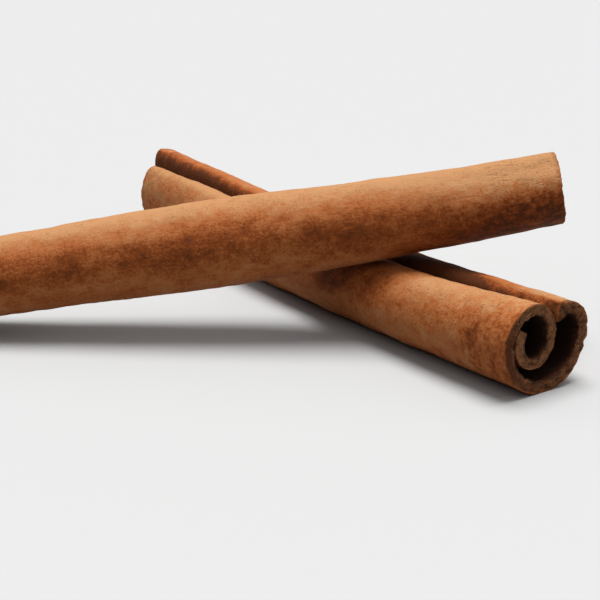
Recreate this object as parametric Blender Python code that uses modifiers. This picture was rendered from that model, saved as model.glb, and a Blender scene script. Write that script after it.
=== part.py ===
"""A stack of two cinnamon sticks.

Each stick is one sheet of bark that dried into a scroll and was cut to length. The lower stick lies on the
table, with a tight roll on one side and the free edge of its sheet curled over on the other. The upper
stick leans across it, with one end on the table. +Z is up, and the origin is the middle of the space that
the stack takes, at table height.

A scroll is described by its quarter turns, seen from the cut end. Each one is a quarter of an ellipse with
its own reach across and up, and the sheet's middle line follows them clockwise, from its free edge inwards.
"""

from math import atan2, cos, degrees, exp, hypot, pi, radians, sin

import bmesh
import bpy
from mathutils import Euler, Vector

MM = 0.001

# Both sticks, in mm
LENGTH = 80.0  # as both are cut
STATIONS = 24  # stretches along a stick
STEPS = 40  # stretches of the sheet from its free edge to its inner edge
THINNING = (0.4, 0.7)  # of the sheet from its free edge, where its wall goes from thick to thin
GAP = 0.3  # between the two sticks where they cross
LEAN = (2, 30)  # the slopes in degrees that the upper stick's lean is sought between
LEAN_STEP = 0.001  # how closely, in degrees

# Lower stick, in mm and degrees. Across is to the right, seen from its near end.
LOWER_YAW = 35.235  # from +Y towards -X, going away from the near end
LOWER_WALL = (1.4, 1.15)  # outer turn, inner turn
LOWER_NEAR = {
    "quarters": (
        (1.2, 1.6),
        (0.55, 0.75),
        (3.0, 3.1),
        (5.3, 5.6),
        (5.75, 5.3),
        (3.35, 4.0),
        (2.95, 3.25),
        (2.35, 3.05),
        (2.25, 2.3),
        (1.8, 3.0),
    ),
    "left": -6.3,  # its widest place on the left
}
LOWER_FAR = {
    "quarters": (
        (1.2, 1.6),
        (0.6, 1.6),
        (4.4, 4.8),
        (3.6, 6.4),
        (3.9, 5.0),
        (1.7, 3.9),
        (2.7, 2.7),
        (1.8, 2.7),
        (1.15, 1.8),
        (0.8, 1.6),
    ),
    "left": -5.15,
}
LOWER_STARTS = (0.7, 1.03, 1.2, 1.1, 1.0)  # quarter turns where the sheet starts, at even places
LOWER_ENDS = 9.43  # where it ends
LOWER_SWAY = (-0.75, 0.3)  # across, as one bow and one S over the length
LOWER_SWELL = ((0.10, 0.06), (-0.10, -0.05))  # the same for its width and its height, as shares
LOWER_REST = 0.06  # depth of the flat that it lies on
LOWER_CROSSING = 22.3  # from its near end to where the upper stick crosses

# Upper stick, in mm and degrees. Across is away from the viewer at the front, seen from its raised end.
UPPER_YAW = -0.8  # from +X, at its raised end
UPPER_WALL = (1.3, 1.1)
UPPER_RAISED = {
    "turns": (0.5, 7.5),  # where the sheet starts and ends, in quarter turns
    "quarters": (
        (4.0, 4.6),
        (4.3, 4.15),
        (3.9, 3.95),
        (3.45, 3.4),
        (3.0, 3.05),
        (2.65, 2.5),
        (2.2, 2.4),
        (1.9, 1.6),
    ),
}
UPPER_LOW = {
    "turns": (0.45, 7.3),
    "quarters": (
        (4.15, 4.7),
        (4.4, 4.05),
        (4.0, 4.05),
        (3.5, 3.2),
        (3.05, 3.2),
        (2.65, 2.5),
        (2.0, 2.3),
        (2.0, 1.6),
    ),
}
UPPER_THICKNESS = (8.5, 9.5, 10.6, 9.8, 9.7)  # at even places, from its raised end
UPPER_SAG = (-0.05, -0.28)  # as one bow and one S over the length
UPPER_PRESS = {  # its raised end is pressed flatter on one side
    "angle": 118,  # of that side, anticlockwise from across
    "spread": 18,
    "share": 0.09,  # how much nearer its middle that side is
    "length": 13.0,
}
UPPER_REST = 0.1  # depth of the flat under its low end
UPPER_CROSSING = 63.3  # from its low end to where it crosses

LEFT, DOWN = 180, -90  # the sheet's heading as its first quarter turn begins, in degrees
BARK = {"lower_stick": (0.40, 0.150, 0.055), "upper_stick": (0.43, 0.165, 0.060)}
BARK_ROUGHNESS = 0.75


def clear_scene():
    for obj in list(bpy.data.objects):
        bpy.data.objects.remove(obj)


def new_collection(name):
    collection = bpy.data.collections.new(name)
    bpy.context.scene.collection.children.link(collection)
    return collection


def bark_material(name):
    material = bpy.data.materials.new(name + "_bark")
    material.use_nodes = True
    shader = material.node_tree.nodes["Principled BSDF"]
    shader.inputs["Base Color"].default_value = (*BARK[name], 1.0)
    shader.inputs["Roughness"].default_value = BARK_ROUGHNESS
    shader.inputs["Metallic"].default_value = 0.0
    return material


def blend(a, b, t):
    """The values between a and b at t, through dicts and tuples of one layout."""
    if isinstance(a, dict):
        return {key: blend(a[key], b[key], t) for key in a}
    if isinstance(a, tuple):
        return tuple(blend(x, y, t) for x, y in zip(a, b))
    return a + (b - a) * t


def quarter_turns(reaches, heading):
    """The start of each quarter turn, with its reach ahead and its reach to the right as vectors."""
    corner = Vector((0.0, 0.0))
    for number, reach in enumerate(reaches):
        angle = radians(heading - 90 * number)
        ahead = Vector((round(cos(angle)), round(sin(angle))))
        right = Vector((ahead.y, -ahead.x))
        ahead, right = ahead * Vector(reach), right * Vector(reach)
        yield corner, ahead, right
        corner = corner + ahead + right


def scroll_line(scroll, heading):
    """The sheet's middle line as points of (across, up), from its free edge inwards."""
    quarters = list(quarter_turns(scroll["quarters"], heading))
    first, last = scroll["turns"]
    line = []
    for step in range(STEPS + 1):
        turn = first + (last - first) * step / STEPS
        number = min(int(turn), len(quarters) - 1)
        corner, ahead, right = quarters[number]
        angle = (turn - number) * pi / 2
        line.append(corner + ahead * sin(angle) + right * (1 - cos(angle)))
    return line


def wave(amounts, t):
    """A bow and an S over the length, of these amounts, at t."""
    return amounts[0] * sin(pi * t) + amounts[1] * sin(2 * pi * t)


def smooth_between(knots, t):
    """A smooth curve through evenly placed knots, at t from 0 to 1."""
    place = t * (len(knots) - 1)
    number = min(int(place), len(knots) - 2)
    past = place - number
    before = knots[number - 1] if number else 2 * knots[0] - knots[1]
    start, end = knots[number], knots[number + 1]
    after = knots[number + 2] if number + 2 < len(knots) else 2 * end - start
    slopes = (end - before) / 2, (after - start) / 2
    rise = past * past * (3 - 2 * past)
    return (
        start + (end - start) * rise
        + slopes[0] * past * (1 - past) ** 2
        - slopes[1] * past * past * (1 - past)
    )


def lower_section(t):
    """The lower stick's line at t of its length, standing on the table."""
    scroll = blend(LOWER_NEAR, LOWER_FAR, t)
    scroll["turns"] = smooth_between(LOWER_STARTS, t), LOWER_ENDS
    line = scroll_line(scroll, LEFT)
    half_wall = LOWER_WALL[0] / 2
    left = min(point.x for point in line) - half_wall
    bottom = min(point.y for point in line) - half_wall
    width, height = (1 + wave(swell, t) for swell in LOWER_SWELL)
    sway = wave(LOWER_SWAY, t)
    return [
        Vector(((p.x + scroll["left"] - left) * width + sway, (p.y - bottom) * height - LOWER_REST))
        for p in line
    ]


def pressed(point, t):
    """The point of the upper stick's line at t of its length, with the raised end pressed flatter."""
    turned = degrees(atan2(point.y, point.x)) - UPPER_PRESS["angle"]
    along = t * LENGTH / UPPER_PRESS["length"]
    return point * (1 - UPPER_PRESS["share"] * exp(-((turned / UPPER_PRESS["spread"]) ** 2) - along**4))


def upper_section(t):
    """The upper stick's line at t of its length, from its raised end, about its own middle.

    All its reaches grow or shrink together to give the thickness, so that its layers stay as far apart.
    """
    scroll = blend(UPPER_RAISED, UPPER_LOW, t)
    quarters = scroll["quarters"]
    height = quarters[1][1] + quarters[2][1]
    spread = (smooth_between(UPPER_THICKNESS, t) - UPPER_WALL[0] - height) / 2
    scroll["quarters"] = tuple((across + spread, up + spread) for across, up in quarters)
    line = scroll_line(scroll, DOWN)
    xs = [point.x for point in line]
    ys = [point.y for point in line]
    middle = Vector(((min(xs) + max(xs)) / 2, (min(ys) + max(ys)) / 2))
    sag = Vector((0.0, wave(UPPER_SAG, t)))
    return [pressed(point - middle, t) + sag for point in line]


def rolled_sheet(name, section, wall):
    """A flat sheet of bark, rolled up so that each station follows its section."""
    roll = bmesh.new()
    bmesh.ops.create_grid(roll, x_segments=STEPS, y_segments=STATIONS, size=0.5)
    sections = [section(station / STATIONS) for station in range(STATIONS + 1)]
    shares = {}
    for vert in roll.verts:
        step = round((vert.co.x + 0.5) * STEPS)
        station = round((vert.co.y + 0.5) * STATIONS)
        point = sections[station][step]
        vert.co = Vector((point.x, LENGTH * station / STATIONS, point.y)) * MM
        thinned = (step / STEPS - THINNING[0]) / (THINNING[1] - THINNING[0])
        shares[vert.index] = min(max(thinned, 0.0), 1.0)
    mesh = bpy.data.meshes.new(name)
    roll.to_mesh(mesh)
    roll.free()
    mesh.shade_smooth()
    stick = bpy.data.objects.new(name, mesh)
    group = stick.vertex_groups.new(name="wall")
    for index, share in shares.items():
        group.add([index], blend(1.0, wall[1] / wall[0], share), "REPLACE")
    return stick


def give_wall(stick, wall):
    """The outer turn has the full wall and the inner turn the thinner one, by the vertex group."""
    solidify = stick.modifiers.new("wall", "SOLIDIFY")
    solidify.thickness = wall[0] * MM
    solidify.offset = 0.0
    solidify.vertex_group = "wall"


def table_block(collection):
    """The table under the whole stack: it cuts the small flats that the sticks rest on."""
    width, depth = 4 * LENGTH, LENGTH
    block = bmesh.new()
    bmesh.ops.create_cube(block, size=1.0)
    bmesh.ops.scale(block, vec=Vector((width, width, depth)) * MM, verts=block.verts)
    bmesh.ops.translate(block, vec=Vector((0, 0, -depth / 2)) * MM, verts=block.verts)
    mesh = bpy.data.meshes.new("table_block")
    block.to_mesh(mesh)
    block.free()
    cutter = bpy.data.objects.new("table_block", mesh)
    cutter.hide_render = True
    cutter.display_type = "WIRE"
    collection.objects.link(cutter)
    return cutter


def cut_flat(stick, cutter):
    boolean = stick.modifiers.new("flat", "BOOLEAN")
    boolean.operation = "DIFFERENCE"
    boolean.solver = "EXACT"
    boolean.object = cutter


def make_stick(name, section, wall, cutter, collection):
    stick = rolled_sheet(name, section, wall)
    give_wall(stick, wall)
    cut_flat(stick, cutter)
    stick.data.materials.append(bark_material(name))
    collection.objects.link(stick)
    return stick


def low_end_height(slope):
    """The height of the middle of the upper stick's low end, which stands on the table."""
    return UPPER_THICKNESS[-1] / 2 * cos(slope) - UPPER_REST


def place_upper(stick, slope):
    """Over the crossing in plan, with its low end on the table, rising at this slope."""
    yaw = radians(UPPER_YAW)
    lower_yaw = radians(LOWER_YAW)
    crossing = Vector((-sin(lower_yaw), cos(lower_yaw), 0.0)) * LOWER_CROSSING
    beyond = (LENGTH - UPPER_CROSSING) * cos(slope)
    place = crossing + Vector((cos(yaw), sin(yaw), 0.0)) * beyond
    place.z = low_end_height(slope) + LENGTH * sin(slope)
    stick.location = place * MM
    stick.rotation_euler = Euler((-slope, 0.0, pi / 2 + yaw))


def clearance(upper, points):
    """The least distance from these points to the upper stick's round outside, in mm."""
    inverse = upper.matrix_basis.inverted()
    least = LENGTH
    for point in points:
        near = inverse @ point / MM
        t = near.y / LENGTH
        if 0 <= t <= 1:
            outside = smooth_between(UPPER_THICKNESS, t) / 2
            least = min(least, hypot(near.x, near.z - wave(UPPER_SAG, t)) - outside)
    return least


def lean(upper, lower):
    """Lets the upper stick down, by halving, until it clears the lower one by the gap."""
    bpy.context.view_layer.update()
    solid = lower.evaluated_get(bpy.context.evaluated_depsgraph_get())
    points = [solid.matrix_world @ vert.co for vert in solid.data.vertices]
    flat, steep = map(radians, LEAN)
    while steep - flat > radians(LEAN_STEP):
        slope = (flat + steep) / 2
        place_upper(upper, slope)
        if clearance(upper, points) > GAP:
            steep = slope
        else:
            flat = slope
    place_upper(upper, steep)


def centre_stack(sticks, stack):
    """Moves the stack so that the origin is the middle of its box, at table height."""
    bpy.context.view_layer.update()
    graph = bpy.context.evaluated_depsgraph_get()
    corners = []
    for stick in sticks:
        solid = stick.evaluated_get(graph)
        corners += [solid.matrix_world @ vert.co for vert in solid.data.vertices]
    for axis in (0, 1):
        values = [corner[axis] for corner in corners]
        stack.location[axis] = -(min(values) + max(values)) / 2


def build():
    clear_scene()
    sticks = new_collection("cinnamon_sticks")
    cutters = new_collection("cutters")
    cutters.hide_render = True
    table = table_block(cutters)
    lower = make_stick("lower_stick", lower_section, LOWER_WALL, table, sticks)
    lower.rotation_euler = Euler((0.0, 0.0, radians(LOWER_YAW)))
    upper = make_stick("upper_stick", upper_section, UPPER_WALL, table, sticks)
    lean(upper, lower)
    stack = bpy.data.objects.new("stack", None)
    sticks.objects.link(stack)
    for stick in (lower, upper):
        stick.parent = stack
    centre_stack((lower, upper), stack)


build()
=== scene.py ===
"""The looks of a stack of two cinnamon sticks, laid out as an add-on and run as a script.

Each stick starts as a flat slab of bark, cut into a fine grid. The slab is rolled into the scroll that the
packed stick has, its faces get the relief of dried bark and its cut ends are left ragged. A place on the
slab is told by (around, along, depth) in mm: from the sheet's free edge inwards, from the stick's first
end, and from the inside of the wall out to its skin. The bark's colours follow the same three numbers,
which way the skin faces and how far it is from the upper stick, with light and shade painted in: a
highlight on the crests and raised spots, light from the floor on the upper stick's underside, and shade
in the groove, inside the roll and the bores, on the lower cut's left and under the upper stick.
"""

from dataclasses import dataclass
from math import atan2, cos, degrees, exp, pi, radians, sin
from typing import Callable

import bmesh
import bpy
import numpy as np
from bpy.props import FloatProperty, FloatVectorProperty, PointerProperty
from mathutils import Euler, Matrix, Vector, noise


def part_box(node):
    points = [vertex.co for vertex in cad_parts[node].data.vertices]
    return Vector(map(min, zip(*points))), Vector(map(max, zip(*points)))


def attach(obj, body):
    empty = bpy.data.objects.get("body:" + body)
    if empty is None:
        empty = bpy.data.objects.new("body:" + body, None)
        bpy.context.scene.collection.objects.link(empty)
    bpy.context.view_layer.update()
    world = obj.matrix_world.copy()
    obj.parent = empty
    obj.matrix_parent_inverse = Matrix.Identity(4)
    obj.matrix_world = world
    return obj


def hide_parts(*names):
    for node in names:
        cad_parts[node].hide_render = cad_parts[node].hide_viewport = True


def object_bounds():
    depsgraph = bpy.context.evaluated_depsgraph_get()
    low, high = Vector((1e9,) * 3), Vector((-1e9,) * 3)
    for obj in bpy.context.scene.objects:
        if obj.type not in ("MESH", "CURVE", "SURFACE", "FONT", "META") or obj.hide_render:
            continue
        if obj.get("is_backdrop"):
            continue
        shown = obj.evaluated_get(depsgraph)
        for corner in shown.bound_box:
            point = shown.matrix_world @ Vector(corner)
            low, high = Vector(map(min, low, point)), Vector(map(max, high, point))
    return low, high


bl_info = {
    "name": "Cinnamon Sticks",
    "version": (1, 0, 0),
    "blender": (4, 5, 0),
    "location": "View3D > Sidebar > Cinnamon",
    "description": "Builds a stack of two cinnamon sticks round its packed model",
    "category": "Object",
}

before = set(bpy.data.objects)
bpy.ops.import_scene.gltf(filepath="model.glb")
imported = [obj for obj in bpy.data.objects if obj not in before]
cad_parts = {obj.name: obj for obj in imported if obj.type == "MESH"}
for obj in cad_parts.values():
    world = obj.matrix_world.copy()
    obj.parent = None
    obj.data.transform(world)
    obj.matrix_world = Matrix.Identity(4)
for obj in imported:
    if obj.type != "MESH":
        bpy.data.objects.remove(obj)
CAD_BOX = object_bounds()

MM = 0.001
LENGTH = 80.0  # of both sticks, in mm

# The grid of a slab: cells around the scroll, along the stick and through the wall
AROUND, ALONG, THROUGH = 168, 262, 7
SHOWN_TURNS = 6.0  # quarter turns from the free edge that show: the rest gets coarser cells
HIDDEN_SHARE = 0.4  # cells per mm there, as a share of the others
FINE_END = 2.5  # how much finer the cells get towards each end, and over how many mm
FINE_OVER = 3.5
TRIES_AROUND, TRIES_ALONG = 800, 1600  # steps in which the even cells are looked for
SPAN_STEPS = 80  # steps in which a scroll's reach is looked for
NEARBY = 0.0005  # the share of the turns over which the sheet's direction is told
THINNING = (0.4, 0.7)  # of the sheet from its free edge, where its wall goes from thick to thin
LAYER_GAP = 7.3  # what keeps one pattern of the relief clear of the next
END_REACH = 0.8  # how far in from a cut end it is worn, in mm, and from a long edge of the sheet
EDGE_REACH = 0.7
SHADED = (3.5, 7.0)  # how far aside of the upper stick the lower's top gets its painted shadow, in mm: fully, and at all
SKIN, INSIDE, CUT = range(3)  # the three finishes, in the order of a stick's material slots

LEFT, DOWN = 180, -90  # the sheet's heading as its first quarter turn begins, in degrees

# Lower stick, in mm and degrees, seen from its near end. "quarters" says for each quarter turn of its
# scroll, from the free edge inwards, how far the sheet goes ahead in it and how far to the right
LOWER_YAW = 35.235
LOWER_WALL = (1.4, 1.15)  # at the free edge and in the roll
LOWER_NEAR = {
    "quarters": (
        (1.2, 1.6),
        (0.55, 0.75),
        (3.0, 3.1),
        (5.3, 5.6),
        (5.75, 5.3),
        (3.35, 4.0),
        (2.95, 3.25),
        (2.35, 3.05),
        (2.25, 2.3),
        (1.8, 3.0),
    ),
    "left": -6.3,
}
LOWER_FAR = {
    "quarters": (
        (1.2, 1.6),
        (0.6, 1.6),
        (4.4, 4.8),
        (3.6, 6.4),
        (3.9, 5.0),
        (1.7, 3.9),
        (2.7, 2.7),
        (1.8, 2.7),
        (1.15, 1.8),
        (0.8, 1.6),
    ),
    "left": -5.15,
}
LOWER_STARTS = (0.7, 1.03, 1.2, 1.1, 1.0)  # where the sheet starts in quarter turns, at even places
LOWER_ENDS = 9.43  # the same for its inner end
LOWER_COVERED = 6.3  # from this turn on, the skin lies inside the roll
LOWER_SWAY = (-0.75, 0.3)  # how far its left side bows and waves sideways
LOWER_SWELL = ((0.10, 0.06), (-0.10, -0.05))  # how its width and its height do, as shares
LOWER_CROSSED = 31.0  # how far along it the other stick lies across it

# Upper stick, seen from its raised end. "turns" are the quarter turns where its sheet starts and ends
UPPER_YAW = -0.8
UPPER_SLOPE = 9.785
UPPER_WALL = (1.3, 1.1)
UPPER_RAISED = {
    "turns": (0.5, 7.5),
    "quarters": (
        (4.0, 4.6),
        (4.3, 4.15),
        (3.9, 3.95),
        (3.45, 3.4),
        (3.0, 3.05),
        (2.65, 2.5),
        (2.2, 2.4),
        (1.9, 1.6),
    ),
}
UPPER_LOW = {
    "turns": (0.45, 7.3),
    "quarters": (
        (4.15, 4.7),
        (4.4, 4.05),
        (4.0, 4.05),
        (3.5, 3.2),
        (3.05, 3.2),
        (2.65, 2.5),
        (2.0, 2.3),
        (2.0, 1.6),
    ),
}
UPPER_THICKNESS = (8.5, 9.5, 10.6, 9.8, 9.7)  # at even places
UPPER_SAG = (-0.05, -0.28)  # how far it bows and waves up and down
UPPER_COVERED = 4.5
UPPER_PRESS = {"angle": 118, "spread": 18, "share": 0.09, "length": 13.0}  # a flatter side at that end
UPPER_MIDDLE = (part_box("upper_stick")[0].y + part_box("upper_stick")[1].y) / 2 / MM  # its middle line's y


# Scrolls


def blend(a, b, t):
    """The values between a and b at t, through dicts and tuples of one layout."""
    if isinstance(a, dict):
        return {key: blend(a[key], b[key], t) for key in a}
    if isinstance(a, tuple):
        return tuple(blend(x, y, t) for x, y in zip(a, b))
    return a + (b - a) * t


def wave(amounts, t):
    """A bow and an S over the length, of these amounts, at t."""
    return amounts[0] * sin(pi * t) + amounts[1] * sin(2 * pi * t)


def smooth_between(knots, t):
    """A smooth curve through evenly placed knots, at t from 0 to 1."""
    place = t * (len(knots) - 1)
    number = min(int(place), len(knots) - 2)
    past = place - number
    before = knots[number - 1] if number else 2 * knots[0] - knots[1]
    start, end = knots[number], knots[number + 1]
    after = knots[number + 2] if number + 2 < len(knots) else 2 * end - start
    rise = past * past * (3 - 2 * past)
    leaving = (end - before) / 2 * past * (1 - past) ** 2
    arriving = (after - start) / 2 * past * past * (1 - past)
    return start + (end - start) * rise + leaving - arriving


class Scroll:
    """The middle line of a rolled sheet, as a chain of quarter ellipses that turn clockwise."""

    def __init__(self, quarters, turns, heading):
        self.turns = turns
        self.shift = Vector((0.0, 0.0))
        self.bend = Vector  # what moves each point last
        self.quarters = []
        corner = Vector((0.0, 0.0))
        for number, reach in enumerate(quarters):
            angle = radians(heading - 90 * number)
            ahead = Vector((round(cos(angle)), round(sin(angle))))
            right = Vector((ahead.y, -ahead.x)) * Vector(reach)
            ahead = ahead * Vector(reach)
            self.quarters.append((corner, ahead, right))
            corner = corner + ahead + right

    def place(self, share):
        """The point at a share of the turns."""
        turn = blend(*self.turns, share)
        number = min(int(turn), len(self.quarters) - 1)
        corner, ahead, right = self.quarters[number]
        angle = (turn - number) * pi / 2
        return self.bend(corner + ahead * sin(angle) + right * (1 - cos(angle)) + self.shift)

    def at(self, share):
        """The point at a share of the turns, and the directions onwards and outwards there."""
        onwards = (self.place(share + NEARBY) - self.place(share - NEARBY)).normalized()
        return self.place(share), onwards, Vector((-onwards.y, onwards.x))

    def span(self):
        """The lowest and highest (across, up) that the line reaches."""
        points = [self.place(step / SPAN_STEPS) for step in range(SPAN_STEPS + 1)]
        return [Vector((pick(p.x for p in points), pick(p.y for p in points))) for pick in (min, max)]


def lower_scroll(t):
    """The lower stick's scroll at t of its length, on its leftmost and lowest points."""
    form = blend(LOWER_NEAR, LOWER_FAR, t)
    width, height = (1 + wave(swell, t) for swell in LOWER_SWELL)
    turns = smooth_between(LOWER_STARTS, t), LOWER_ENDS
    scroll = Scroll([(x * width, y * height) for x, y in form["quarters"]], turns, LEFT)
    half_wall = LOWER_WALL[0] / 2
    left = (form["left"] + half_wall) * width + wave(LOWER_SWAY, t)
    scroll.shift = Vector((left, half_wall * height)) - scroll.span()[0]
    return scroll


def upper_scroll(t):
    """The upper stick's scroll at t of its length, about its own middle."""
    form = blend(UPPER_RAISED, UPPER_LOW, t)
    height = form["quarters"][1][1] + form["quarters"][2][1]
    spread = (smooth_between(UPPER_THICKNESS, t) - UPPER_WALL[0] - height) / 2
    scroll = Scroll([(x + spread, y + spread) for x, y in form["quarters"]], form["turns"], DOWN)
    low, high = scroll.span()
    scroll.shift = -(low + high) / 2
    sag = Vector((0.0, wave(UPPER_SAG, t)))
    scroll.bend = lambda point: pressed(point, t) + sag
    return scroll


def pressed(point, t):
    """The point of the upper stick's scroll at t of its length, with the raised end pressed flatter."""
    turned = degrees(atan2(point.y, point.x)) - UPPER_PRESS["angle"]
    along = t * LENGTH / UPPER_PRESS["length"]
    return point * (1 - UPPER_PRESS["share"] * exp(-((turned / UPPER_PRESS["spread"]) ** 2) - along**4))


@dataclass(frozen=True)
class Stick:
    """What makes one stick differ from the other."""

    node: str
    slot: str
    scroll: Callable
    wall: tuple
    lie: Euler
    grain: float  # how far its bark is from the other's, in mm, so that their patterns differ
    crest_highlight: float  # how much its skin is painted paler on the upward crests and darker below them: painted highlight and shade
    covered: float  # the quarter turn from which its skin lies inside the roll
    tone: Callable  # how much paler its skin is at a turn, along it and facing so far upwards, painted light and shade included
    cut_tone: Callable  # the same for its cut faces, at a turn and a share of the wall's depth


def fade(value, low, high):
    """0 up to low, 1 from high on, and even between them."""
    return min(max((value - low) / (high - low), 0.0), 1.0)


def hump(value, middle, reach):
    """1 at the middle, and almost 0 from twice this reach away."""
    return exp(-(((value - middle) / reach) ** 2))


def lower_tone(turn, along, upwards):
    """The free edge's lobe is darker, most of all beside the crossing and down in the groove, and the roll
    is
    darker by the crossing: painted shade of the upper stick, the groove and the gap by the free edge.
    """
    lobe = 1 - fade(turn, 2.0, 2.8)
    off_end = fade(along, 0, 14)
    # painted shade down in the groove between the lobe and the roll
    groove = (1 - fade(turn, 1.3, 2.3)) * off_end * 0.3
    # painted shade in the gap by the free edge, near the near end
    gap = (1 - fade(turn, 1.7, 2.1)) * exp(-along / 3) * 0.9
    # painted shadow of the upper stick on the lobe beside the crossing, with a darker tone further along
    beside = hump(along, 16, 8) * 0.5 + fade(along, 5, 30) * 0.1 + fade(along, 45, 75) * 0.15
    darker = beside + off_end * 0.16 - exp(-along / 8) * 0.35
    # painted shade on the roll where the upper stick crosses it
    crossing = hump(along, LOWER_CROSSED, 8) * 0.06 * (1 - lobe)
    return 0.15 + fade(along, 4, 25) * 0.14 - lobe * darker - groove - gap - crossing


def lower_cut_tone(turn, share):
    """The cut is darkest by the free edge and out on its left, where the dark is painted shade, and paler
    at the top and in the roll.
    """
    # painted shade on the cut's left, where its rounded wall turns from the light
    left = hump(turn, 4.95, 0.55) * fade(share, 0.15, 0.4)
    free_edge = (1 - fade(turn, 0.8, 1.3)) * 0.8
    top = hump(turn, 5.75, 0.3) * 0.3
    roll = fade(turn, 5.8, 6.6) * 0.08 + fade(turn, 8.3, 8.9) * 0.15
    return top + roll - left - free_edge


def upper_tone(turn, along, upwards):
    """The underside is paler with painted light bounced up from the floor, but darker by the raised end,
    where the top is paler with a painted highlight.
    """
    # painted light bounced up from the floor on the underside
    underside = fade(-upwards, -0.1, 0.4)
    raised = hump(along, 0, 16)
    # a darker underside by the raised end, and a painted highlight on the top there
    return 0.13 + underside * (0.2 - raised * 0.45) + fade(upwards, 0.0, 0.4) * raised * 0.4


def upper_cut_tone(turn, share):
    """The cut is paler towards the inside."""
    return 0.15 - share * 0.2


LOWER_LIE = Euler((0, 0, radians(LOWER_YAW)))
LOWER = Stick(
    node="lower_stick",
    slot="lower_bark",
    scroll=lower_scroll,
    wall=LOWER_WALL,
    lie=LOWER_LIE,
    grain=0.0,
    crest_highlight=0.36,
    covered=LOWER_COVERED,
    tone=lower_tone,
    cut_tone=lower_cut_tone,
)
UPPER_LIE = Euler((radians(-UPPER_SLOPE), 0, radians(90 + UPPER_YAW)))
UPPER = Stick(
    node="upper_stick",
    slot="upper_bark",
    scroll=upper_scroll,
    wall=UPPER_WALL,
    lie=UPPER_LIE,
    grain=140.0,
    crest_highlight=0.75,
    covered=UPPER_COVERED,
    tone=upper_tone,
    cut_tone=upper_cut_tone,
)


# Bark relief, in mm: each pattern is a ripple on its own layer, and the bark's settings scale it


def ripple(layer, size, stretch, around, along, depth=0.0):
    """Smooth noise from about -1 to 1 with lumps of this size, longer along the stick by stretch."""
    place = Vector((around / size, along / size / stretch, depth / size + layer * LAYER_GAP))
    return noise.noise(place)


def skin_height(around, along, bark):
    """How far the skin stands out from its plain scroll."""
    lumps = ripple(1, 3.1, 1.5, around, along) * bark.lumps
    bumps = ripple(2, 1.25, 1.2, around, along) * bark.bumps
    ridges = ripple(3, 1.7, 9.0, around, along) * bark.ridges
    fold = abs(ripple(4, 1.9, 0.9, around, along))
    creases = -bark.creases * max(0.0, 1 - fold / 0.16)
    where = min(max(ripple(5, 6.0, 1.6, around, along) * 2.5 + 0.6, 0.0), 1.0)
    return lumps + bumps + ridges + creases * where


def inside_height(around, along, bark):
    """How far the inside of the wall stands out from its plain scroll, towards the bore."""
    ridges = ripple(6, 0.9, 14.0, around, along) * bark.ridges
    return ridges + ripple(7, 1.4, 1.5, around, along) * bark.bumps * 0.5


def end_wear(around, depth, wall, end, bark):
    """How far a cut end is worn back at this place on it."""
    waves = ripple(8, 4.0, 1.0, around, end) * 1.2
    coarse = ripple(9, 0.55, 1.0, around, end, depth) * 0.8
    fine = ripple(10, 0.25, 1.0, around, end, depth) * 0.4
    rim = min(depth, wall - depth)
    chips = max(0.0, ripple(11, 0.8, 1.0, around, end) - 0.1) * exp(-rim / 0.3) * 1.3
    pits = max(0.0, ripple(15, 0.75, 1.0, around, end, depth) - 0.3) * 5.0
    rounding = exp(-rim / 0.12) * 0.35
    return (waves + coarse + fine + chips + pits + rounding) * bark.raggedness


def edge_wear(along, depth, bark):
    """How far a long edge of the sheet is worn back at this place along it."""
    tatters = ripple(12, 1.3, 1.0, 0, along) + ripple(13, 0.4, 1.0, 0, along, depth) * 0.5
    return tatters * bark.raggedness * 1.5


def frays(around, from_edge, along, end, bark):
    """How far the two faces stand out near a cut end: inwards, where fibres stick out, and outwards."""
    near = exp(-end / 0.45)
    fibres = max(0.0, ripple(16, 0.7, 1.0, around, along) + 0.15) * near * 2.6
    crumbs = ripple(17, 0.8, 1.0, around, along) * exp(-from_edge / 1.6 - end / 2.5) * 2.8
    nicks = -max(0.0, ripple(18, 0.6, 1.0, around, along) - 0.1) * near * 0.5
    return fibres * bark.raggedness, (crumbs + nicks) * bark.raggedness


# Rolling a slab up


def flat_slab():
    """A flat slab, 1 by 1 by 1, in the grid's cells, with the skin, the inside and the cuts told apart."""
    slab = bmesh.new()
    bmesh.ops.create_grid(slab, x_segments=AROUND, y_segments=ALONG, size=0.5)
    sheet = slab.faces[:] + slab.edges[:] + slab.verts[:]
    raised = bmesh.ops.extrude_face_region(slab, geom=sheet)["geom"]
    top = [item for item in raised if isinstance(item, bmesh.types.BMVert)]
    bmesh.ops.translate(slab, vec=(0, 0, 1), verts=top)
    upright = [edge for edge in slab.edges if abs(edge.verts[0].co.z - edge.verts[1].co.z) > 0.5]
    bmesh.ops.subdivide_edges(slab, edges=upright, cuts=THROUGH - 1, use_grid_fill=True)
    slab.normal_update()
    for face in slab.faces:
        face.smooth = True
        face.material_index = SKIN if face.normal.z > 0.5 else INSIDE if face.normal.z < -0.5 else CUT
    for edge in slab.edges:
        edge.smooth = edge.link_faces[0].material_index == edge.link_faces[1].material_index
    return slab


def even_shares(stick):
    """The share of the turns at each cell round the scroll, and how far around in mm it is."""
    scroll = stick.scroll(0.5)
    shares = np.linspace(0, 1, TRIES_AROUND + 1)
    points = np.array([scroll.at(share)[0] for share in shares])
    steps = np.linalg.norm(np.diff(points, axis=0), axis=1)
    turns = scroll.turns[0] + (scroll.turns[1] - scroll.turns[0]) * shares[1:]
    cells = np.cumsum(np.append(0, steps * np.where(turns < SHOWN_TURNS, 1.0, HIDDEN_SHARE)))
    columns = np.interp(np.linspace(0, cells[-1], AROUND + 1), cells, shares)
    arounds = np.interp(columns, shares, np.cumsum(np.append(0, steps)))
    return columns, arounds


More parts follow.
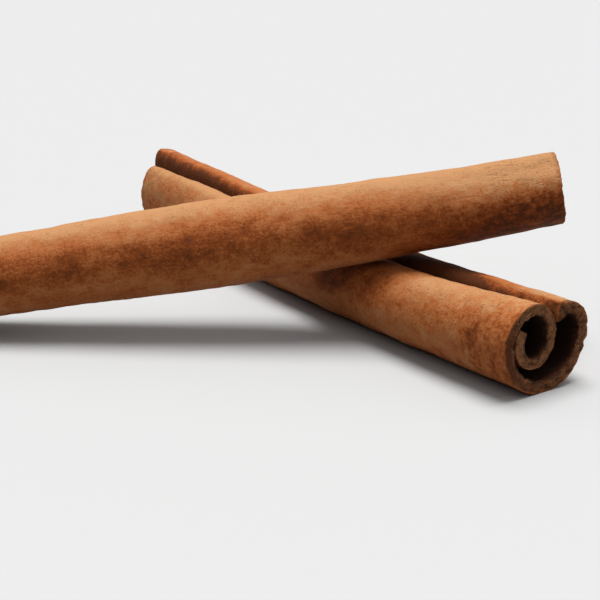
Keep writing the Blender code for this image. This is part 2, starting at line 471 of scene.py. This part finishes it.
def even_alongs():
    """How far along the stick each row of cells is, in mm: the rows are closer at both ends."""
    alongs = np.linspace(0, LENGTH, TRIES_ALONG + 1)
    close = 1 + FINE_END * (np.exp(-alongs / FINE_OVER) + np.exp((alongs - LENGTH) / FINE_OVER))
    cells = np.append(0, np.cumsum((close[1:] + close[:-1]) / 2))
    return np.interp(np.linspace(0, cells[-1], ALONG + 1), cells, alongs)


def wall_at(stick, share):
    return blend(*stick.wall, fade(share, *THINNING))


def plain_scroll(stick, columns, alongs):
    """For each row and column of the grid, the sheet's middle line: place, directions and turn."""
    lie = stick.lie.to_matrix()
    axis = lie @ Vector((0, 1, 0))
    rows = []
    for along in alongs:
        scroll = stick.scroll(along / LENGTH)
        row = []
        for share in columns:
            point, onwards, outwards = (lie @ Vector((v.x, 0, v.y)) for v in scroll.at(share))
            row.append((point + axis * along, onwards, outwards, blend(*scroll.turns, share)))
        rows.append(row)
    return rows


def seat(stick, rows, columns):
    """The move that brings the plain scroll level with its packed stick's top and in line with it."""
    skin = [
        place + outwards * wall_at(stick, share) / 2
        for row in rows
        for (place, _, outwards, _), share in zip(row, columns)
    ]
    low, high = (Vector([pick(p[axis] for p in skin) for axis in range(3)]) for pick in (min, max))
    packed_low, packed_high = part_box(stick.node)
    move = (packed_low + packed_high) / 2 / MM - (low + high) / 2
    move.z = packed_high.z / MM - high.z
    return move


def roll_up(slab, stick, bark):
    """Rolls the slab into the stick, where it lies, with its relief and its ragged edges."""
    columns, arounds = even_shares(stick)
    alongs = even_alongs()
    rows = plain_scroll(stick, columns, alongs)
    move = seat(stick, rows, columns)
    axis = stick.lie.to_matrix() @ Vector((0, 1, 0))
    sheet = slab.verts.layers.float_vector.new("sheet")
    relief = slab.verts.layers.float.new("relief")
    # the bark's tone, with painted highlight and shade in it: paler above 0, darker below
    wear = slab.verts.layers.float.new("wear")
    for vert in slab.verts:
        column, row = round((vert.co.x + 0.5) * AROUND), round((vert.co.y + 0.5) * ALONG)
        place, onwards, outwards, turn = rows[row][column]
        share, around, along = columns[column], arounds[column] + stick.grain, alongs[row]
        wall = wall_at(stick, share)
        depth = vert.co.z * wall
        near, far = along, LENGTH - along
        from_edge, to_edge = arounds[column], arounds[-1] - arounds[column]
        inner, outer = frays(around, from_edge, along, min(near, far), bark)
        inner, outer = inner + inside_height(around, along, bark), outer + skin_height(around, along, bark)
        height = blend(-inner, outer, vert.co.z)
        worn = end_wear(around, depth, wall, 0, bark) * exp(-near / END_REACH)
        worn -= end_wear(around, depth, wall, 1, bark) * exp(-far / END_REACH)
        edges = exp(-from_edge / EDGE_REACH) - exp(-to_edge / EDGE_REACH)
        torn = edge_wear(along, depth, bark) * edges
        spot = place + outwards * (depth - wall / 2 + height) + onwards * torn + axis * worn + move
        spot.z = max(spot.z, 0.0)
        vert[sheet] = (around, along, depth)
        vert[relief] = height
        if vert.co.z < 1:
            vert[wear] = stick.cut_tone(turn, vert.co.z)
        else:
            # skin: its tone with painted highlight and shade, less the painted shadow of the upper stick
            aside = spot.y - UPPER_MIDDLE
            vert[wear] = skin_tone_and_painted_light(stick, around, along, turn, outwards.z) - shade(stick, aside, outwards.z)
        vert.co = spot * MM


def shade(stick, aside, upwards):
    """The painted shadow of the upper stick: how dark it makes the lower stick's top at this distance in
    plan from the middle of the stick on it.
    """
    if stick is UPPER:
        return 0.0
    return (1 - fade(abs(aside), *SHADED)) * fade(upwards, -0.2, 0.3) * 0.4


def skin_tone_and_painted_light(stick, around, along, turn, upwards):
    """How much paler the skin is than most of it, or how much darker where this is below 0, with painted
    light and shade in it.
    """
    # painted highlight on the upward crests, and painted shade below them
    crest = fade(upwards, 0.0, 1.0) ** 3
    patch = ripple(14, 5.0, 2.0, around, along) * 0.2
    mouth = exp(-min(along, LENGTH - along) / END_REACH)
    # painted shade on the skin inside the roll, away from the mouths
    covered = fade(turn, stick.covered, stick.covered + 0.3) * (1 - mouth)
    return (crest - 0.35) * stick.crest_highlight * (1 + patch) + stick.tone(turn, along, upwards) - covered


def make_stick(stick, context):
    """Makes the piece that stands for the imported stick."""
    slab = flat_slab()
    roll_up(slab, stick, context.scene.bark_shape)
    name = stick.node + "_bark"
    mesh = bpy.data.meshes.new(name)
    slab.to_mesh(mesh)
    slab.free()
    piece = bpy.data.objects.new(name, mesh)
    context.scene.collection.objects.link(piece)
    for finish in (skin_finish, inside_finish, cut_finish):
        mesh.materials.append(finish(context.scene.bark_colours))
    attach(piece, "root")
    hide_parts(stick.node)


# Materials

BARK_GLOSS = 0.07  # the shader's specular level: dry bark hardly shines


class Value:
    """A socket of a material: sums and products of it add Math nodes."""

    def __init__(self, paint, socket):
        self.paint = paint
        self.socket = socket

    def __add__(self, other):
        return self.paint.math("ADD", self, other)

    def __sub__(self, other):
        return self.paint.math("SUBTRACT", self, other)

    def __rsub__(self, other):
        return self.paint.math("SUBTRACT", other, self)

    def __mul__(self, other):
        return self.paint.math("MULTIPLY", self, other)

    __radd__ = __add__
    __rmul__ = __mul__


class Paint:
    """Adds the nodes of one material."""

    def __init__(self, name):
        self.material = bpy.data.materials.new(name)
        self.material.use_nodes = True
        self.tree = self.material.node_tree
        self.shader = self.tree.nodes["Principled BSDF"]

    def node(self, kind, settings, inputs, output=0):
        """A node of this kind, with its settings and then the values or links of its sockets."""
        node = self.tree.nodes.new(kind)
        for name, setting in settings.items():
            if name == "stops":
                self.set_stops(node.color_ramp, setting)
            else:
                setattr(node, name, setting)
        for name, value in inputs.items():
            self.feed(node.inputs[name], value)
        return Value(self, node.outputs[output])

    def set_stops(self, ramp, stops):
        while len(ramp.elements) < len(stops):
            ramp.elements.new(1.0)
        for element, (place, colour) in zip(ramp.elements, stops):
            element.position = place
            element.color = (*colour, 1.0)

    def feed(self, socket, value):
        if isinstance(value, Value):
            self.tree.links.new(value.socket, socket)
        elif socket.type == "RGBA":
            socket.default_value = (*value, 1.0)
        else:
            socket.default_value = value

    def math(self, operation, *values):
        return self.node("ShaderNodeMath", {"operation": operation}, dict(enumerate(values)))

    def between(self, value, low, high):
        """0 where value is under low, 1 where it is over high, and smooth between them."""
        inputs = {"Value": value, "From Min": low, "From Max": high}
        return self.node("ShaderNodeMapRange", {"interpolation_type": "SMOOTHSTEP"}, inputs)

    def mix(self, share, a, b):
        """Colour a, turning into colour b as share goes from 0 to 1."""
        return self.node("ShaderNodeMix", {"data_type": "RGBA"}, {0: share, 6: a, 7: b}, 2)

    def attribute(self, name, output):
        return self.node("ShaderNodeAttribute", {"attribute_name": name}, {}, output)

    def stretched(self, place, around, along, depth):
        """The place with each direction scaled, so that a pattern on it is this many times as fine."""
        settings = {"operation": "MULTIPLY"}
        return self.node("ShaderNodeVectorMath", settings, {0: place, 1: (around, along, depth)})

    def noise(self, place, detail=2.0, roughness=0.5, distortion=0.0):
        inputs = {"Vector": place, "Scale": 1.0, "Detail": detail, "Roughness": roughness}
        return self.node("ShaderNodeTexNoise", {}, inputs | {"Distortion": distortion})

    def apart(self, place):
        """How far the place is from the nearest of scattered points."""
        inputs = {"Vector": place, "Scale": 1.0}
        return self.node("ShaderNodeTexVoronoi", {"feature": "F1"}, inputs, "Distance")

    def inwards(self, sheet):
        """How far in mm this place on the sheet is from the nearer end of the stick."""
        along = self.node("ShaderNodeSeparateXYZ", {}, {"Vector": sheet}, "Y")
        return self.math("MINIMUM", along, LENGTH - along)

    def finish(self, colour, roughness, height, depth):
        """Connects the colour, the roughness and a bump of this depth in mm, and gives the material."""
        bump = self.node("ShaderNodeBump", {}, {"Height": height, "Distance": depth * MM, "Strength": 1.0})
        self.feed(self.shader.inputs["Base Color"], colour)
        self.feed(self.shader.inputs["Roughness"], roughness)
        self.feed(self.shader.inputs["Normal"], bump)
        self.shader.inputs["Specular IOR Level"].default_value = BARK_GLOSS
        return self.material


def swing(pattern, amount):
    """The noise pattern about 0 instead of about its middle, times this amount."""
    return (pattern - 0.5) * amount


def shared(make):
    """Keeps the material that this function makes, so that both sticks use one."""
    made = {}

    def finish(colours):
        if make.__name__ not in made:
            made[make.__name__] = make(colours)
        return made[make.__name__]

    return finish


@shared
def skin_finish(colours):
    """The outer skin: rough and fine-grained, paler on its crests where a highlight is painted, with specks
    and short cracks.
    """
    paint = Paint("bark_skin")
    sheet = paint.attribute("sheet", "Vector")
    relief = paint.attribute("relief", "Fac")
    wear = paint.attribute("wear", "Fac")
    inwards = paint.inwards(sheet)
    by_end = 1.0 - paint.between(inwards, 2.0, 18.0)
    patches = paint.noise(paint.stretched(sheet, 0.3, 0.16, 0.3), 2.0)
    mottle = paint.noise(paint.stretched(sheet, 0.8, 0.5, 0.8), 4.0, 0.6)
    grain = paint.noise(paint.stretched(sheet, 4.2, 3.4, 4.2), 4.0, 0.72)
    fibres = paint.noise(paint.stretched(sheet, 5.0, 0.7, 5.0), 2.0, 0.6)
    flakes = paint.noise(paint.stretched(sheet, 1.1, 0.9, 1.1), 3.0, 0.65)
    tone = 0.5 + swing(patches, 0.12) + swing(mottle, 0.6) + swing(grain, 0.9) + swing(fibres, 0.2)
    # the relief pales raised spots and darkens creases, as painted light and shade; the attribute adds
    # painted highlight and shade
    tone = tone + relief + wear + swing(flakes, by_end * 0.9 + 0.3)
    stops = [(0.1, colours.umber), (0.36, colours.russet), (0.56, colours.brown), (1.0, colours.tan)]
    colour = paint.node("ShaderNodeValToRGB", {"stops": stops}, {"Fac": tone})

    spots = paint.apart(paint.stretched(sheet, 1.6, 1.3, 1.6))
    specks = (1.0 - paint.between(spots, 0.05, 0.15)) * paint.between(grain, 0.48, 0.58)
    colour = paint.mix(specks * 0.55, colour, colours.umber)

    splits = paint.between(paint.noise(paint.stretched(sheet, 5.0, 1.0, 5.0), 2.0), 0.58, 0.72)
    breaks = paint.between(paint.noise(paint.stretched(sheet, 1.3, 4.5, 1.3), 2.0), 0.59, 0.73)
    scaly = paint.noise(paint.stretched(sheet, 0.35, 0.25, 0.35), 2.0)
    scaly = paint.between(scaly + by_end * 0.15, 0.42, 0.6) * paint.between(flakes, 0.44, 0.56)
    cracks = paint.math("MAXIMUM", splits, breaks) * scaly
    colour = paint.mix(cracks * (0.2 + by_end * 0.35), colour, colours.russet)

    crumbling = 1.0 - paint.between(inwards + swing(grain, 4.0), 0.0, 0.5)
    colour = paint.mix(crumbling * 0.6, colour, colours.russet)
    height = grain * 0.7 + fibres * 0.2 + mottle * 0.4 - specks * 0.4 - cracks * 0.3
    return paint.finish(colour, 0.7 + swing(grain, 0.3), height, 0.2)


@shared
def inside_finish(colours):
    """The inside of the wall: browner at the mouths and painted near black further in, as shade in the
    bores, with fine grooves along the stick.
    """
    paint = Paint("bark_inside")
    sheet = paint.attribute("sheet", "Vector")
    grooves = paint.noise(paint.stretched(sheet, 3.5, 0.2, 3.5), 3.0, 0.6)
    mottle = paint.noise(paint.stretched(sheet, 0.9, 0.6, 0.9), 3.0, 0.6)
    # painted shade: away from the mouths the dark inner bark turns near black pith
    mouth = 1.0 - paint.between(paint.inwards(sheet) + swing(mottle, 4.0), 0.1, 1.1)
    tone = (0.5 + swing(grooves, 0.8) + swing(mottle, 1.0)) * mouth
    colour = paint.mix(paint.between(tone, 0.1, 0.7), colours.pith, colours.inside)
    return paint.finish(colour, 0.8 + swing(grooves, 0.1), grooves + mottle * 0.4, 0.12)


@shared
def cut_finish(colours):
    """The cut bark: dark, granular and pitted, in thin layers, browner under the skin and black inside."""
    paint = Paint("bark_cut")
    sheet = paint.attribute("sheet", "Vector")
    grit = paint.noise(paint.stretched(sheet, 4.5, 4.5, 5.5), 4.0, 0.75)
    clumps = paint.noise(paint.stretched(sheet, 1.1, 1.1, 1.6), 2.0, 0.6)
    layers = paint.noise(paint.stretched(sheet, 0.7, 0.7, 7.0), 3.0, 0.6, 0.3)
    crumbs = paint.noise(paint.stretched(sheet, 1.3, 1.3, 1.8), 5.0, 0.7)
    tone = 0.55 + swing(grit, 1.6) + swing(layers, 0.7) + swing(clumps, 1.1)
    colour = paint.mix(paint.between(tone, 0.15, 0.85), colours.pith, colours.cut)
    colour = paint.mix(paint.between(crumbs, 0.52, 0.64) * 0.55, colour, colours.russet)

    # the tone attribute: paler towards tan, darker towards umber, painted shade on the lower cut's left
    # included
    wear = paint.attribute("wear", "Fac")
    colour = paint.mix(paint.math("MAXIMUM", wear, 0.0), colour, colours.tan)
    pits = paint.between(paint.noise(paint.stretched(sheet, 1.6, 1.6, 2.2), 4.0, 0.6), 0.56, 0.64)
    colour = paint.mix(pits * 0.8, colour, colours.pith)

    depth = paint.node("ShaderNodeSeparateXYZ", {}, {"Vector": sheet}, "Z")
    rim = paint.between(depth + swing(crumbs, 2.5), 1.05, 1.4)
    colour = paint.mix(rim * 0.8, colour, colours.brown)
    colour = paint.mix(paint.math("MAXIMUM", 0.0 - wear, 0.0) * 0.9, colour, colours.umber)
    lining = 1.0 - paint.between(depth + swing(crumbs, 0.8), 0.0, 0.25)
    colour = paint.mix(lining * 0.7, colour, colours.pith)
    return paint.finish(colour, 0.85 + swing(grit, 0.1), grit + layers * 0.4, 0.2)


# Settings


def rise(name, description, default):
    """A height of the relief, set in mm."""
    return FloatProperty(name=name, description=description, default=default, min=0.0, max=2.0)


def strength(name, description, default):
    return FloatProperty(name=name, description=description, default=default, min=0.0)


def angle(name, description, degrees):
    return FloatProperty(
        name=name, description=description, default=radians(degrees), subtype="ANGLE", unit="ROTATION"
    )


def tint(name, description, default):
    return FloatVectorProperty(
        name=name, description=description, default=default, subtype="COLOR", size=3, min=0.0, max=1.0
    )


class BarkShape(bpy.types.PropertyGroup):
    lumps: rise("Lumps", "Height in mm of the broad lumps of the skin", 0.13)
    bumps: rise("Bumps", "Height in mm of the small bumps of the skin", 0.06)
    ridges: rise("Ridges", "Height in mm of the ridges along the stick", 0.05)
    creases: rise("Creases", "Depth in mm of the creases of the skin", 0.04)
    raggedness: rise("Raggedness", "How far in mm the cut ends and edges wear back", 0.14)


class BarkColours(bpy.types.PropertyGroup):
    # tan: the pale end of the skin's colours, reached by the painted highlight on crests and raised spots
    tan: tint("Tan", "Rubbed high spots of the skin", (0.345, 0.17, 0.072))
    brown: tint("Brown", "Most of the skin", (0.29, 0.088, 0.024))
    russet: tint("Russet", "Redder, darker streaks of the skin", (0.19, 0.044, 0.008))
    # umber: also the colour that the painted shade darkens the skin and the cuts towards
    umber: tint("Umber", "Pits, specks and stains of the skin", (0.07, 0.02, 0.006))
    inside: tint("Inside", "Inner side of the sheet", (0.07, 0.022, 0.008))
    # pith: also the painted shade deep in the bores
    pith: tint("Pith", "Darkest bark of the inside and the cuts", (0.018, 0.008, 0.005))
    cut: tint("Cut", "Cut faces at the ends and edges", (0.205, 0.085, 0.036))


class StageSettings(bpy.types.PropertyGroup):
    floor: tint("Floor", "Colour of the floor", (0.35, 0.35, 0.35))
    backdrop: tint("Backdrop", "Colour that shows past the floor", (0.84, 0.84, 0.84))
    key: strength("Key light", "Strength of the overhead light", 5.2)
    key_width: angle("Key width", "Angle that the overhead light spans", 36)
    ceiling: strength("Ceiling", "Strength of the light from all of the ceiling", 2.3)
    ceiling_width: angle("Ceiling width", "Angle that the ceiling's light spans", 135)
    fill: strength("Fill light", "Strength of the light from all round", 0.05)
    eye: FloatVectorProperty(
        name="Camera",
        description="Where the camera stands",
        default=(0.00895, -0.1727, 0.0585),
        subtype="TRANSLATION",
        unit="LENGTH",
    )
    tilt: angle("Tilt", "How far down the camera looks", 18.79)
    lens: FloatProperty(
        name="Lens", description="Focal length in mm on a frame 36 mm wide", default=84.0, min=10.0
    )


# Operators

FLOOR_REACH = 6.0  # from the stack to the floor's edges, in metres
FLOOR_ROUGHNESS, FLOOR_GLOSS = 0.9, 0.1
FRAME_WIDTH = 36.0  # of the camera, in mm
NEAREST_SEEN = 0.01  # metres
OVERHEAD = Vector((0.02, 0.10, 1.0))  # towards the lights: overhead, a little behind

class CINNAMON_OT_lower_stick(bpy.types.Operator):
    """Build the stick that lies on the table"""

    bl_idname = "cinnamon.lower_stick"
    bl_label = "Lower Stick"

    def execute(self, context):
        make_stick(LOWER, context)
        return {"FINISHED"}


class CINNAMON_OT_upper_stick(bpy.types.Operator):
    """Build the stick that leans across the other"""

    bl_idname = "cinnamon.upper_stick"
    bl_label = "Upper Stick"

    def execute(self, context):
        make_stick(UPPER, context)
        return {"FINISHED"}


class CINNAMON_OT_stage(bpy.types.Operator):
    """Set up the floor, the lights and the camera"""

    bl_idname = "cinnamon.stage"
    bl_label = "Stage"

    def execute(self, context):
        stage = context.scene.stage_settings
        lay_floor(stage, context)
        light_stage(stage, context)
        place_camera(stage, context)
        return {"FINISHED"}


def lay_floor(stage, context):
    """A plain matt floor."""
    slab = bmesh.new()
    bmesh.ops.create_grid(slab, x_segments=1, y_segments=1, size=FLOOR_REACH)
    mesh = bpy.data.meshes.new("floor")
    slab.to_mesh(mesh)
    slab.free()
    paint = Paint("floor_matt")
    paint.feed(paint.shader.inputs["Base Color"], tuple(stage.floor))
    paint.feed(paint.shader.inputs["Roughness"], FLOOR_ROUGHNESS)
    paint.feed(paint.shader.inputs["Specular IOR Level"], FLOOR_GLOSS)
    mesh.materials.append(paint.material)
    floor = bpy.data.objects.new("floor", mesh)
    context.scene.collection.objects.link(floor)
    floor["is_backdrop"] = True


def light_stage(stage, context):
    """A key light from overhead, a softer one from all of the ceiling, and an even fill."""
    for name, strength, width in (
        ("key_light", stage.key, stage.key_width),
        ("ceiling_light", stage.ceiling, stage.ceiling_width),
    ):
        lamp = bpy.data.lights.new(name, "SUN")
        lamp.energy = strength
        lamp.angle = width
        light = bpy.data.objects.new(name, lamp)
        light.rotation_euler = OVERHEAD.to_track_quat("Z", "Y").to_euler()
        context.scene.collection.objects.link(light)
    context.scene.world = studio(stage)
    context.scene.view_settings.view_transform = "Standard"


def studio(stage):
    """A world that looks like the floor from far off, and lights the sticks only faintly."""
    world = bpy.data.worlds.new("studio")
    world.use_nodes = True
    tree = world.node_tree
    fill = tree.nodes["Background"]
    fill.inputs["Color"].default_value = (1.0, 1.0, 1.0, 1.0)
    fill.inputs["Strength"].default_value = stage.fill
    backdrop = tree.nodes.new("ShaderNodeBackground")
    backdrop.inputs["Color"].default_value = (*stage.backdrop, 1.0)
    seen = tree.nodes.new("ShaderNodeLightPath")
    either = tree.nodes.new("ShaderNodeMixShader")
    tree.links.new(seen.outputs["Is Camera Ray"], either.inputs[0])
    tree.links.new(fill.outputs[0], either.inputs[1])
    tree.links.new(backdrop.outputs[0], either.inputs[2])
    tree.links.new(either.outputs[0], tree.nodes["World Output"].inputs["Surface"])
    return world


def place_camera(stage, context):
    """A camera that looks along +Y and down at the stack."""
    camera = bpy.data.cameras.new("camera")
    camera.sensor_width = FRAME_WIDTH
    camera.lens = stage.lens
    camera.clip_start = NEAREST_SEEN
    viewer = bpy.data.objects.new("camera", camera)
    viewer.location = stage.eye
    viewer.rotation_euler = Euler((pi / 2 - stage.tilt, 0, 0))
    context.scene.collection.objects.link(viewer)
    context.scene.camera = viewer


class CINNAMON_PT_sidebar(bpy.types.Panel):
    """The pieces of the stack and what can be set on them"""

    bl_label = "Cinnamon Sticks"
    bl_space_type = "VIEW_3D"
    bl_region_type = "UI"
    bl_category = "Cinnamon"

    def draw(self, context):
        scene = context.scene
        for group in (scene.bark_shape, scene.bark_colours, scene.stage_settings):
            box = self.layout.box()
            for name in group.bl_rna.properties.keys():
                if name not in ("rna_type", "name"):
                    box.prop(group, name)
        for operator in OPERATORS:
            self.layout.operator(operator.bl_idname)


GROUPS = {"bark_shape": BarkShape, "bark_colours": BarkColours, "stage_settings": StageSettings}
OPERATORS = (CINNAMON_OT_lower_stick, CINNAMON_OT_upper_stick, CINNAMON_OT_stage)
CLASSES = (*GROUPS.values(), *OPERATORS, CINNAMON_PT_sidebar)


def register():
    for cls in CLASSES:
        bpy.utils.register_class(cls)
    for name, group in GROUPS.items():
        setattr(bpy.types.Scene, name, PointerProperty(type=group))


def unregister():
    for name in GROUPS:
        delattr(bpy.types.Scene, name)
    for cls in reversed(CLASSES):
        bpy.utils.unregister_class(cls)


def main():
    register()
    bpy.ops.cinnamon.lower_stick()
    bpy.ops.cinnamon.upper_stick()
    bpy.ops.cinnamon.stage()
    boxes = {"cad": CAD_BOX, "visual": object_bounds()}
    sizes = {name: [list(corner) for corner in box] for name, box in boxes.items()}


if __name__ == "__main__":
    main()
